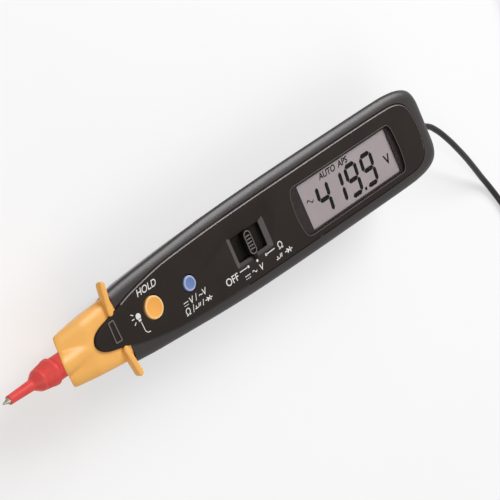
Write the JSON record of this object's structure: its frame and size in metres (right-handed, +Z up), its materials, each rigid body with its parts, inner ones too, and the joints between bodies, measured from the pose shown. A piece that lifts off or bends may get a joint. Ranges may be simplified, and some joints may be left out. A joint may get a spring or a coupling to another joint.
{
  "type": "pen multimeter",
  "caption": "Pen-shaped digital multimeter with finger guard, sleeved probe, push buttons, slide switch, display and a put-away test lead with its second probe.",
  "frame": {"origin": "centre of the bounding box of meter and strain relief on the resting plane under its flat underside, the free lead left out", "axes": "+X from the probe tip to the rear where the lead leaves, +Y to the left of someone looking along +X, +Z up out of the face"},
  "size_m": [0.2694, 0.0999, 0.0265],
  "materials": {
    "case_grey": "satin",
    "guard_yellow": "satin",
    "probe_red": "satin",
    "button_orange": "satin",
    "button_blue": "satin",
    "knob_black": "matte",
    "steel": "polished",
    "screw_steel": "satin",
    "contact_brass": "satin",
    "window_clear": "polished",
    "lcd_glass": "satin",
    "frame_white": "matte",
    "rubber_pink": "matte",
    "rubber_black": "satin",
    "board_green": "gloss",
    "chip_black": "matte",
    "part_tin": "satin",
    "thermistor_tan": "satin",
    "lamp_clear": "gloss",
    "cell_steel": "satin"
  },
  "bodies": {
    "case": {"upper_case": "case_grey", "lower_case": "case_grey", "nose_guard": "guard_yellow", "probe_pin": "steel", "probe_collar": "probe_red", "switch_contacts": "contact_brass", "display_window": "window_clear", "lcd_panel": "lcd_glass", "lcd_frame": "frame_white", "zebra_strips": "rubber_pink", "circuit_board": "board_green", "dome_switches": "screw_steel", "main_chip": "chip_black", "board_parts": "part_tin", "board_screws": "screw_steel", "buzzer": "chip_black", "input_thermistor": "thermistor_tan", "lamp": "lamp_clear", "lamp_leads": "part_tin", "probe_contact": "contact_brass", "button_cells": "cell_steel", "battery_contacts": "contact_brass", "case_screws": "screw_steel", "lead_bushing": "rubber_black", "lead_core": "rubber_black", "lead_terminal": "contact_brass", "lead_stretch": "rubber_black", "lead_coil": "rubber_black", "lead_tail": "rubber_black", "lead_probe_handle": "rubber_black", "lead_probe_pin": "steel"},
    "hold": {"hold_button": "button_orange"},
    "select": {"select_button": "button_blue"},
    "slider": {"switch_knob": "knob_black", "switch_wiper": "contact_brass"},
    "sleeve": {"probe_sleeve": "probe_red"},
    "cover": {"battery_cover": "case_grey", "cover_screw": "screw_steel", "battery_bridge": "contact_brass"}
  },
  "joints": [
    {"name": "hold_press", "type": "slide", "parent": "case", "child": "hold", "axis": [0, 0, -1], "range_m": [0, 0.0008], "stiffness_N_per_m": 1500},
    {"name": "select_press", "type": "slide", "parent": "case", "child": "select", "axis": [0, 0, -1], "range_m": [0, 0.0008], "stiffness_N_per_m": 1500},
    {"name": "switch_slide", "type": "slide", "parent": "case", "child": "slider", "axis": [1, 0, 0], "range_m": [-0.004, 0.004]},
    {"name": "sleeve_pull", "type": "slide", "parent": "case", "child": "sleeve", "axis": [-1, 0, 0], "range_m": [0, 0.025]},
    {"name": "cover_lift", "type": "slide", "parent": "case", "child": "cover", "axis": [0, 0, -1], "range_m": [0, 0.012]}
  ]
}
